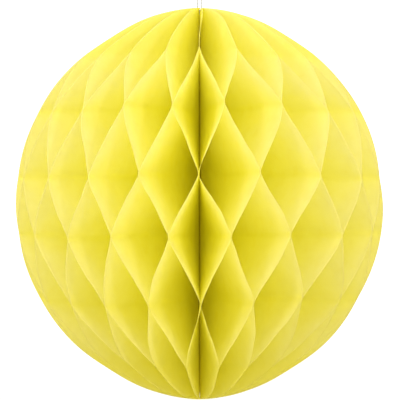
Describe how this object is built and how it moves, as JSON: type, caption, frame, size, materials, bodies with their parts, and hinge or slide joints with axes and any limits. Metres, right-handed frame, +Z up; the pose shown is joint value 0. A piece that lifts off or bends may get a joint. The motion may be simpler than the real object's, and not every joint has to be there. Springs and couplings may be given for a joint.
{
  "type": "paper honeycomb ball",
  "caption": "Hanging honeycomb ball: glued tissue half-discs on a thread spine fan out between two card covers into a sphere of lozenge cells, with a doubled hanging thread.",
  "frame": {"origin": "lowest point of the opened ball, on the spine's axis", "axes": "+Z up along the spine towards the hanging loop; the two covers meet on the +Y side; -Y is the ball's face"},
  "size_m": [0.1862, 0.186, 0.3199],
  "materials": {
    "tissue": "matte lemon-yellow tissue paper, slightly see-through, with a soft sheen along the cut rims",
    "card": "smooth yellow card, matte, faintly fibrous",
    "tape": "thin white double-sided tape, satin",
    "thread": "pale grey-white two-ply polyester thread, slight sheen",
    "binding": "yellow two-ply binding thread, matched to the tissue"
  },
  "bodies": {
    "fixed_cover": {"cover_card_fixed": "card", "adhesive_tape_bottom": "tape", "adhesive_tape_middle": "tape", "adhesive_tape_top": "tape", "spine_thread": "binding", "spine_knot_bottom": "binding", "spine_knot_top": "binding"},
    "moving_cover": {"cover_card_moving": "card"},
    "cord_eye": {"thread_eye": "thread"},
    "cord_loop": {"hanging_cord": "thread"},
    "leaf_01": {"tissue_leaf_01": "tissue"},
    "leaf_02": {"tissue_leaf_02": "tissue"},
    "leaf_03": {"tissue_leaf_03": "tissue"},
    "leaf_04": {"tissue_leaf_04": "tissue"},
    "leaf_05": {"tissue_leaf_05": "tissue"},
    "leaf_06": {"tissue_leaf_06": "tissue"},
    "leaf_07": {"tissue_leaf_07": "tissue"},
    "leaf_08": {"tissue_leaf_08": "tissue"},
    "leaf_09": {"tissue_leaf_09": "tissue"},
    "leaf_10": {"tissue_leaf_10": "tissue"},
    "leaf_11": {"tissue_leaf_11": "tissue"},
    "leaf_12": {"tissue_leaf_12": "tissue"},
    "leaf_13": {"tissue_leaf_13": "tissue"},
    "leaf_14": {"tissue_leaf_14": "tissue"},
    "leaf_15": {"tissue_leaf_15": "tissue"},
    "leaf_16": {"tissue_leaf_16": "tissue"},
    "leaf_17": {"tissue_leaf_17": "tissue"},
    "leaf_18": {"tissue_leaf_18": "tissue"},
    "leaf_19": {"tissue_leaf_19": "tissue"},
    "leaf_20": {"tissue_leaf_20": "tissue"},
    "leaf_21": {"tissue_leaf_21": "tissue"},
    "leaf_22": {"tissue_leaf_22": "tissue"},
    "leaf_23": {"tissue_leaf_23": "tissue"},
    "leaf_24": {"tissue_leaf_24": "tissue"},
    "leaf_25": {"tissue_leaf_25": "tissue"},
    "leaf_26": {"tissue_leaf_26": "tissue"},
    "leaf_27": {"tissue_leaf_27": "tissue"},
    "leaf_28": {"tissue_leaf_28": "tissue"},
    "leaf_29": {"tissue_leaf_29": "tissue"},
    "leaf_30": {"tissue_leaf_30": "tissue"},
    "leaf_31": {"tissue_leaf_31": "tissue"},
    "leaf_32": {"tissue_leaf_32": "tissue"},
    "leaf_33": {"tissue_leaf_33": "tissue"},
    "leaf_34": {"tissue_leaf_34": "tissue"},
    "leaf_35": {"tissue_leaf_35": "tissue"},
    "leaf_36": {"tissue_leaf_36": "tissue"},
    "leaf_37": {"tissue_leaf_37": "tissue"},
    "leaf_38": {"tissue_leaf_38": "tissue"},
    "leaf_39": {"tissue_leaf_39": "tissue"},
    "leaf_40": {"tissue_leaf_40": "tissue"}
  },
  "joints": [
    {"name": "fan_close", "type": "hinge", "parent": "fixed_cover", "child": "moving_cover", "pos_m": [0, 0, 0], "axis": [0, 0, -1], "range_deg": [0, 351]},
    {"name": "leaf_01_turn", "type": "hinge", "parent": "fixed_cover", "child": "leaf_01", "pos_m": [0, 0, 0], "axis": [0, 0, -1], "range_deg": [0, 5], "deforming": ["tissue_leaf_01"]},
    {"name": "leaf_02_turn", "type": "hinge", "parent": "fixed_cover", "child": "leaf_02", "pos_m": [0, 0, 0], "axis": [0, 0, -1], "range_deg": [0, 14], "deforming": ["tissue_leaf_02"]},
    {"name": "leaf_03_turn", "type": "hinge", "parent": "fixed_cover", "child": "leaf_03", "pos_m": [0, 0, 0], "axis": [0, 0, -1], "range_deg": [0, 23], "deforming": ["tissue_leaf_03"]},
    {"name": "leaf_04_turn", "type": "hinge", "parent": "fixed_cover", "child": "leaf_04", "pos_m": [0, 0, 0], "axis": [0, 0, -1], "range_deg": [0, 32], "deforming": ["tissue_leaf_04"]},
    {"name": "leaf_05_turn", "type": "hinge", "parent": "fixed_cover", "child": "leaf_05", "pos_m": [0, 0, 0], "axis": [0, 0, -1], "range_deg": [0, 41], "deforming": ["tissue_leaf_05"]},
    {"name": "leaf_06_turn", "type": "hinge", "parent": "fixed_cover", "child": "leaf_06", "pos_m": [0, 0, 0], "axis": [0, 0, -1], "range_deg": [0, 50], "deforming": ["tissue_leaf_06"]},
    {"name": "leaf_07_turn", "type": "hinge", "parent": "fixed_cover", "child": "leaf_07", "pos_m": [0, 0, 0], "axis": [0, 0, -1], "range_deg": [0, 59], "deforming": ["tissue_leaf_07"]},
    {"name": "leaf_08_turn", "type": "hinge", "parent": "fixed_cover", "child": "leaf_08", "pos_m": [0, 0, 0], "axis": [0, 0, -1], "range_deg": [0, 68], "deforming": ["tissue_leaf_08"]},
    {"name": "leaf_09_turn", "type": "hinge", "parent": "fixed_cover", "child": "leaf_09", "pos_m": [0, 0, 0], "axis": [0, 0, -1], "range_deg": [0, 77], "deforming": ["tissue_leaf_09"]},
    {"name": "leaf_10_turn", "type": "hinge", "parent": "fixed_cover", "child": "leaf_10", "pos_m": [0, 0, 0], "axis": [0, 0, -1], "range_deg": [0, 87], "deforming": ["tissue_leaf_10"]},
    {"name": "leaf_11_turn", "type": "hinge", "parent": "fixed_cover", "child": "leaf_11", "pos_m": [0, 0, 0], "axis": [0, 0, -1], "range_deg": [0, 96], "deforming": ["tissue_leaf_11"]},
    {"name": "leaf_12_turn", "type": "hinge", "parent": "fixed_cover", "child": "leaf_12", "pos_m": [0, 0, 0], "axis": [0, 0, -1], "range_deg": [0, 105], "deforming": ["tissue_leaf_12"]},
    {"name": "leaf_13_turn", "type": "hinge", "parent": "fixed_cover", "child": "leaf_13", "pos_m": [0, 0, 0], "axis": [0, 0, -1], "range_deg": [0, 114], "deforming": ["tissue_leaf_13"]},
    {"name": "leaf_14_turn", "type": "hinge", "parent": "fixed_cover", "child": "leaf_14", "pos_m": [0, 0, 0], "axis": [0, 0, -1], "range_deg": [0, 123], "deforming": ["tissue_leaf_14"]},
    {"name": "leaf_15_turn", "type": "hinge", "parent": "fixed_cover", "child": "leaf_15", "pos_m": [0, 0, 0], "axis": [0, 0, -1], "range_deg": [0, 131], "deforming": ["tissue_leaf_15"]},
    {"name": "leaf_16_turn", "type": "hinge", "parent": "fixed_cover", "child": "leaf_16", "pos_m": [0, 0, 0], "axis": [0, 0, -1], "range_deg": [0, 140], "deforming": ["tissue_leaf_16"]},
    {"name": "leaf_17_turn", "type": "hinge", "parent": "fixed_cover", "child": "leaf_17", "pos_m": [0, 0, 0], "axis": [0, 0, -1], "range_deg": [0, 148], "deforming": ["tissue_leaf_17"]},
    {"name": "leaf_18_turn", "type": "hinge", "parent": "fixed_cover", "child": "leaf_18", "pos_m": [0, 0, 0], "axis": [0, 0, -1], "range_deg": [0, 156], "deforming": ["tissue_leaf_18"]},
    {"name": "leaf_19_turn", "type": "hinge", "parent": "fixed_cover", "child": "leaf_19", "pos_m": [0, 0, 0], "axis": [0, 0, -1], "range_deg": [0, 164], "deforming": ["tissue_leaf_19"]},
    {"name": "leaf_20_turn", "type": "hinge", "parent": "fixed_cover", "child": "leaf_20", "pos_m": [0, 0, 0], "axis": [0, 0, -1], "range_deg": [0, 172], "deforming": ["tissue_leaf_20"]},
    {"name": "leaf_21_turn", "type": "hinge", "parent": "fixed_cover", "child": "leaf_21", "pos_m": [0, 0, 0], "axis": [0, 0, -1], "range_deg": [0, 180], "deforming": ["tissue_leaf_21"]},
    {"name": "leaf_22_turn", "type": "hinge", "parent": "fixed_cover", "child": "leaf_22", "pos_m": [0, 0, 0], "axis": [0, 0, -1], "range_deg": [0, 189], "deforming": ["tissue_leaf_22"]},
    {"name": "leaf_23_turn", "type": "hinge", "parent": "fixed_cover", "child": "leaf_23", "pos_m": [0, 0, 0], "axis": [0, 0, -1], "range_deg": [0, 198], "deforming": ["tissue_leaf_23"]},
    {"name": "leaf_24_turn", "type": "hinge", "parent": "fixed_cover", "child": "leaf_24", "pos_m": [0, 0, 0], "axis": [0, 0, -1], "range_deg": [0, 207], "deforming": ["tissue_leaf_24"]},
    {"name": "leaf_25_turn", "type": "hinge", "parent": "fixed_cover", "child": "leaf_25", "pos_m": [0, 0, 0], "axis": [0, 0, -1], "range_deg": [0, 216], "deforming": ["tissue_leaf_25"]},
    {"name": "leaf_26_turn", "type": "hinge", "parent": "fixed_cover", "child": "leaf_26", "pos_m": [0, 0, 0], "axis": [0, 0, -1], "range_deg": [0, 226], "deforming": ["tissue_leaf_26"]},
    {"name": "leaf_27_turn", "type": "hinge", "parent": "fixed_cover", "child": "leaf_27", "pos_m": [0, 0, 0], "axis": [0, 0, -1], "range_deg": [0, 235], "deforming": ["tissue_leaf_27"]},
    {"name": "leaf_28_turn", "type": "hinge", "parent": "fixed_cover", "child": "leaf_28", "pos_m": [0, 0, 0], "axis": [0, 0, -1], "range_deg": [0, 244], "deforming": ["tissue_leaf_28"]},
    {"name": "leaf_29_turn", "type": "hinge", "parent": "fixed_cover", "child": "leaf_29", "pos_m": [0, 0, 0], "axis": [0, 0, -1], "range_deg": [0, 252], "deforming": ["tissue_leaf_29"]},
    {"name": "leaf_30_turn", "type": "hinge", "parent": "fixed_cover", "child": "leaf_30", "pos_m": [0, 0, 0], "axis": [0, 0, -1], "range_deg": [0, 261], "deforming": ["tissue_leaf_30"]},
    {"name": "leaf_31_turn", "type": "hinge", "parent": "fixed_cover", "child": "leaf_31", "pos_m": [0, 0, 0], "axis": [0, 0, -1], "range_deg": [0, 269], "deforming": ["tissue_leaf_31"]},
    {"name": "leaf_32_turn", "type": "hinge", "parent": "fixed_cover", "child": "leaf_32", "pos_m": [0, 0, 0], "axis": [0, 0, -1], "range_deg": [0, 278], "deforming": ["tissue_leaf_32"]},
    {"name": "leaf_33_turn", "type": "hinge", "parent": "fixed_cover", "child": "leaf_33", "pos_m": [0, 0, 0], "axis": [0, 0, -1], "range_deg": [0, 286], "deforming": ["tissue_leaf_33"]},
    {"name": "leaf_34_turn", "type": "hinge", "parent": "fixed_cover", "child": "leaf_34", "pos_m": [0, 0, 0], "axis": [0, 0, -1], "range_deg": [0, 295], "deforming": ["tissue_leaf_34"]},
    {"name": "leaf_35_turn", "type": "hinge", "parent": "fixed_cover", "child": "leaf_35", "pos_m": [0, 0, 0], "axis": [0, 0, -1], "range_deg": [0, 303], "deforming": ["tissue_leaf_35"]},
    {"name": "leaf_36_turn", "type": "hinge", "parent": "fixed_cover", "child": "leaf_36", "pos_m": [0, 0, 0], "axis": [0, 0, -1], "range_deg": [0, 312], "deforming": ["tissue_leaf_36"]},
    {"name": "leaf_37_turn", "type": "hinge", "parent": "fixed_cover", "child": "leaf_37", "pos_m": [0, 0, 0], "axis": [0, 0, -1], "range_deg": [0, 321], "deforming": ["tissue_leaf_37"]},
    {"name": "leaf_38_turn", "type": "hinge", "parent": "fixed_cover", "child": "leaf_38", "pos_m": [0, 0, 0], "axis": [0, 0, -1], "range_deg": [0, 330], "deforming": ["tissue_leaf_38"]},
    {"name": "leaf_39_turn", "type": "hinge", "parent": "fixed_cover", "child": "leaf_39", "pos_m": [0, 0, 0], "axis": [0, 0, -1], "range_deg": [0, 339], "deforming": ["tissue_leaf_39"]},
    {"name": "leaf_40_turn", "type": "hinge", "parent": "fixed_cover", "child": "leaf_40", "pos_m": [0, 0, 0], "axis": [0, 0, -1], "range_deg": [0, 347], "deforming": ["tissue_leaf_40"]},
    {"name": "cord_twist", "type": "hinge", "parent": "fixed_cover", "child": "cord_eye", "pos_m": [0, 0, 0.1961], "axis": [0, 0, 1], "range_deg": [-180, 180]},
    {"name": "cord_swing", "type": "hinge", "parent": "cord_eye", "child": "cord_loop", "pos_m": [0, 0, 0.19771], "axis": [1, 0, 0], "range_deg": [-30, 30]}
  ],
  "couplings": [
    {"joint": "leaf_01_turn", "follows": "fan_close", "ratio": 0.01255},
    {"joint": "leaf_02_turn", "follows": "fan_close", "ratio": 0.03824},
    {"joint": "leaf_03_turn", "follows": "fan_close", "ratio": 0.06332},
    {"joint": "leaf_04_turn", "follows": "fan_close", "ratio": 0.08904},
    {"joint": "leaf_05_turn", "follows": "fan_close", "ratio": 0.11409},
    {"joint": "leaf_06_turn", "follows": "fan_close", "ratio": 0.13984},
    {"joint": "leaf_07_turn", "follows": "fan_close", "ratio": 0.16512},
    {"joint": "leaf_08_turn", "follows": "fan_close", "ratio": 0.19225},
    {"joint": "leaf_09_turn", "follows": "fan_close", "ratio": 0.21802},
    {"joint": "leaf_10_turn", "follows": "fan_close", "ratio": 0.24514},
    {"joint": "leaf_11_turn", "follows": "fan_close", "ratio": 0.27091},
    {"joint": "leaf_12_turn", "follows": "fan_close", "ratio": 0.29802},
    {"joint": "leaf_13_turn", "follows": "fan_close", "ratio": 0.32345},
    {"joint": "leaf_14_turn", "follows": "fan_close", "ratio": 0.34884},
    {"joint": "leaf_15_turn", "follows": "fan_close", "ratio": 0.37258},
    {"joint": "leaf_16_turn", "follows": "fan_close", "ratio": 0.3965},
    {"joint": "leaf_17_turn", "follows": "fan_close", "ratio": 0.4184},
    {"joint": "leaf_18_turn", "follows": "fan_close", "ratio": 0.44184},
    {"joint": "leaf_19_turn", "follows": "fan_close", "ratio": 0.46477},
    {"joint": "leaf_20_turn", "follows": "fan_close", "ratio": 0.48866},
    {"joint": "leaf_21_turn", "follows": "fan_close", "ratio": 0.51202},
    {"joint": "leaf_22_turn", "follows": "fan_close", "ratio": 0.53708},
    {"joint": "leaf_23_turn", "follows": "fan_close", "ratio": 0.56187},
    {"joint": "leaf_24_turn", "follows": "fan_close", "ratio": 0.58853},
    {"joint": "leaf_25_turn", "follows": "fan_close", "ratio": 0.61448},
    {"joint": "leaf_26_turn", "follows": "fan_close", "ratio": 0.64216},
    {"joint": "leaf_27_turn", "follows": "fan_close", "ratio": 0.66683},
    {"joint": "leaf_28_turn", "follows": "fan_close", "ratio": 0.69207},
    {"joint": "leaf_29_turn", "follows": "fan_close", "ratio": 0.71573},
    {"joint": "leaf_30_turn", "follows": "fan_close", "ratio": 0.7408},
    {"joint": "leaf_31_turn", "follows": "fan_close", "ratio": 0.76447},
    {"joint": "leaf_32_turn", "follows": "fan_close", "ratio": 0.78952},
    {"joint": "leaf_33_turn", "follows": "fan_close", "ratio": 0.81321},
    {"joint": "leaf_34_turn", "follows": "fan_close", "ratio": 0.83828},
    {"joint": "leaf_35_turn", "follows": "fan_close", "ratio": 0.86265},
    {"joint": "leaf_36_turn", "follows": "fan_close", "ratio": 0.88788},
    {"joint": "leaf_37_turn", "follows": "fan_close", "ratio": 0.91256},
    {"joint": "leaf_38_turn", "follows": "fan_close", "ratio": 0.93776},
    {"joint": "leaf_39_turn", "follows": "fan_close", "ratio": 0.96246},
    {"joint": "leaf_40_turn", "follows": "fan_close", "ratio": 0.98764}
  ]
}
